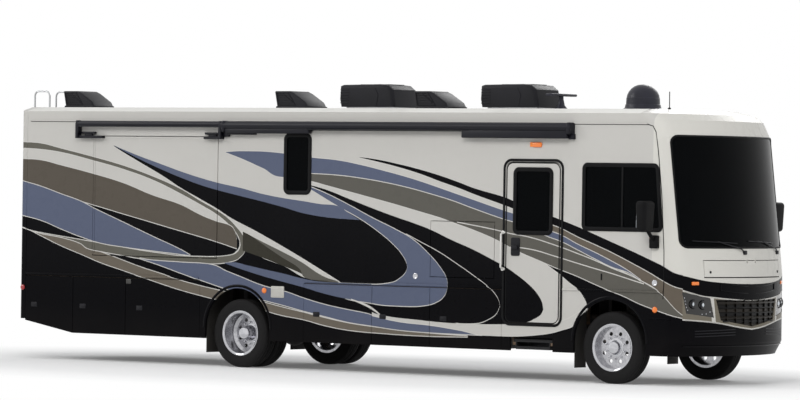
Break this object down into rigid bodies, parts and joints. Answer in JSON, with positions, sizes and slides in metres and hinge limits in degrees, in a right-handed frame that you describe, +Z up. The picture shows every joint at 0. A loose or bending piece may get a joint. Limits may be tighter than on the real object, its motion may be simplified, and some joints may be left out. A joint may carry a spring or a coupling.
{
  "type": "motorhome",
  "caption": "Flat-fronted motorhome with twin rear wheels, steered front wheels, room slide-outs, entry door, storage doors and roof equipment.",
  "frame": {"origin": "on the ground under the middle of the overall length and width", "axes": "+X forward, +Y to the driver's left, +Z up"},
  "size_m": [11.5868, 3.375, 3.905],
  "materials": {
    "frame_paint": "satin",
    "engine": "matte",
    "tank_plastic": "matte",
    "exhaust_steel": "satin",
    "flap_rubber": "matte",
    "polished_rim": "polished",
    "tyre": "matte",
    "floor_lining": "satin",
    "bay_lining": "matte",
    "side_paint": "gloss",
    "roof_skin": "satin",
    "cap_paint": "gloss",
    "lower_paint": "gloss",
    "grille_plastic": "gloss",
    "lamp_lens": "gloss",
    "dark_glass": "gloss",
    "step_metal": "satin",
    "awning_case": "satin",
    "black_plastic": "satin",
    "aerial_plastic": "gloss",
    "ladder_metal": "satin",
    "dash_plastic": "matte",
    "seat_fabric": "soft"
  },
  "bodies": {
    "root": {"chassis_frame": "frame_paint", "front_axle": "frame_paint", "rear_axle": "frame_paint", "engine_block": "engine", "tanks": "tank_plastic", "exhaust": "exhaust_steel", "mud_flaps": "flap_rubber", "floor": "floor_lining", "wall_right": "side_paint", "wall_left": "side_paint", "roof": "roof_skin", "rear_cap": "side_paint", "front_cap": "cap_paint", "front_bumper": "lower_paint", "grille": "grille_plastic", "lamps": "lamp_lens", "windows": "dark_glass", "skirt_right": "side_paint", "skirt_left": "side_paint", "storage_bays_right": "bay_lining", "storage_bays_left": "bay_lining", "patio_awning": "awning_case", "mirrors": "black_plastic", "air_conditioners": "black_plastic", "vent_covers": "black_plastic", "roof_aerials": "aerial_plastic", "ladder": "ladder_metal", "dashboard": "dash_plastic", "cab_seats": "seat_fabric"},
    "knuckle_left": {"knuckle_left": "frame_paint"},
    "knuckle_right": {"knuckle_right": "frame_paint"},
    "wheel_front_left": {"rim_front_left": "polished_rim", "tyre_front_left": "tyre"},
    "wheel_front_right": {"rim_front_right": "polished_rim", "tyre_front_right": "tyre"},
    "wheels_rear_left": {"rims_rear_left": "polished_rim", "tyres_rear_left": "tyre"},
    "wheels_rear_right": {"rims_rear_right": "polished_rim", "tyres_rear_right": "tyre"},
    "steering_wheel": {"steering_wheel": "dash_plastic"},
    "hood": {"hood": "cap_paint"},
    "entry_door": {"entry_door": "side_paint", "entry_door_glass": "dark_glass"},
    "entry_step": {"entry_step": "step_metal"},
    "screen_hatch": {"screen_hatch": "side_paint"},
    "slide_right": {"slide_right": "side_paint", "topper_right": "awning_case"},
    "slide_left": {"slide_left": "side_paint", "slide_left_windows": "dark_glass", "topper_left": "awning_case"},
    "storage_door_right_1": {"storage_door_right_1": "side_paint"},
    "storage_door_right_2": {"storage_door_right_2": "side_paint"},
    "storage_door_right_3": {"storage_door_right_3": "side_paint"},
    "storage_door_right_4": {"storage_door_right_4": "side_paint"},
    "storage_door_right_5": {"storage_door_right_5": "side_paint"},
    "storage_door_right_6": {"storage_door_right_6": "side_paint"},
    "storage_door_left_1": {"storage_door_left_1": "side_paint"},
    "storage_door_left_2": {"storage_door_left_2": "side_paint"},
    "storage_door_left_3": {"storage_door_left_3": "side_paint"}
  },
  "joints": [
    {"name": "steer_left", "type": "hinge", "parent": "root", "child": "knuckle_left", "pos_m": [4.4335, 0.9255, 0.47], "axis": [0, 0, 1], "range_deg": [-38, 38]},
    {"name": "steer_right", "type": "hinge", "parent": "root", "child": "knuckle_right", "pos_m": [4.4335, -0.9255, 0.47], "axis": [0, 0, 1], "range_deg": [-38, 38]},
    {"name": "steering_wheel_turn", "type": "hinge", "parent": "root", "child": "steering_wheel", "pos_m": [5.1835, 0.62, 1.79], "axis": [-0.766, 0, 0.6428], "range_deg": [-532, 532]},
    {"name": "roll_front_left", "type": "hinge", "parent": "knuckle_left", "child": "wheel_front_left", "pos_m": [4.4335, 1.1025, 0.47], "axis": [0, 1, 0], "continuous": true},
    {"name": "roll_front_right", "type": "hinge", "parent": "knuckle_right", "child": "wheel_front_right", "pos_m": [4.4335, -1.1025, 0.47], "axis": [0, 1, 0], "continuous": true},
    {"name": "roll_rear_left", "type": "hinge", "parent": "root", "child": "wheels_rear_left", "pos_m": [-1.7135, 1.1025, 0.47], "axis": [0, 1, 0], "continuous": true},
    {"name": "roll_rear_right", "type": "hinge", "parent": "root", "child": "wheels_rear_right", "pos_m": [-1.7135, -1.1025, 0.47], "axis": [0, 1, 0], "continuous": true},
    {"name": "hinge_storage_door_right_1", "type": "hinge", "parent": "root", "child": "storage_door_right_1", "pos_m": [-4.68608, -1.274, 1.174], "axis": [0, 0, 1], "range_deg": [0, 90]},
    {"name": "hinge_storage_door_right_2", "type": "hinge", "parent": "root", "child": "storage_door_right_2", "pos_m": [-3.7238, -1.274, 1.174], "axis": [0, 0, 1], "range_deg": [0, 90]},
    {"name": "hinge_storage_door_right_3", "type": "hinge", "parent": "root", "child": "storage_door_right_3", "pos_m": [-2.38928, -1.274, 1.174], "axis": [0, 0, 1], "range_deg": [0, 90]},
    {"name": "hinge_storage_door_right_4", "type": "hinge", "parent": "root", "child": "storage_door_right_4", "pos_m": [0.57621, -1.274, 1.174], "axis": [0, 0, 1], "range_deg": [0, 90]},
    {"name": "hinge_storage_door_right_5", "type": "hinge", "parent": "root", "child": "storage_door_right_5", "pos_m": [1.53883, -1.274, 1.174], "axis": [0, 0, 1], "range_deg": [0, 90]},
    {"name": "hinge_storage_door_right_6", "type": "hinge", "parent": "root", "child": "storage_door_right_6", "pos_m": [2.71229, -1.274, 1.174], "axis": [0, 0, 1], "range_deg": [0, 90]},
    {"name": "hinge_storage_door_left_1", "type": "hinge", "parent": "root", "child": "storage_door_left_1", "pos_m": [-3.9812, 1.274, 1.174], "axis": [0, 0, -1], "range_deg": [0, 90]},
    {"name": "hinge_storage_door_left_2", "type": "hinge", "parent": "root", "child": "storage_door_left_2", "pos_m": [-2.38928, 1.274, 1.174], "axis": [0, 0, -1], "range_deg": [0, 90]},
    {"name": "hinge_storage_door_left_3", "type": "hinge", "parent": "root", "child": "storage_door_left_3", "pos_m": [1.16509, 1.274, 1.174], "axis": [0, 0, -1], "range_deg": [0, 90]},
    {"name": "entry_door_hinge", "type": "hinge", "parent": "root", "child": "entry_door", "pos_m": [3.62436, -1.274, 0.741], "axis": [0, 0, 1], "range_deg": [0, 90]},
    {"name": "hatch_hinge", "type": "hinge", "parent": "root", "child": "screen_hatch", "pos_m": [2.06818, -1.274, 2.05101], "axis": [-1, 0, 0], "range_deg": [0, 95]},
    {"name": "hood_hinge", "type": "hinge", "parent": "root", "child": "hood", "pos_m": [5.76184, 0, 1.61008], "axis": [0, -1, 0], "range_deg": [0, 60]},
    {"name": "entry_step_slide", "type": "slide", "parent": "root", "child": "entry_step", "axis": [0, -1, 0], "range_m": [0, 0.29]},
    {"name": "slide_right_travel", "type": "slide", "parent": "root", "child": "slide_right", "axis": [0, -1, 0], "range_m": [0, 0.56]},
    {"name": "slide_left_travel", "type": "slide", "parent": "root", "child": "slide_left", "axis": [0, 1, 0], "range_m": [0, 0.72]}
  ],
  "couplings": [
    {"joint": "steer_right", "follows": "steer_left", "ratio": 1},
    {"joint": "steering_wheel_turn", "follows": "steer_left", "ratio": 14}
  ]
}
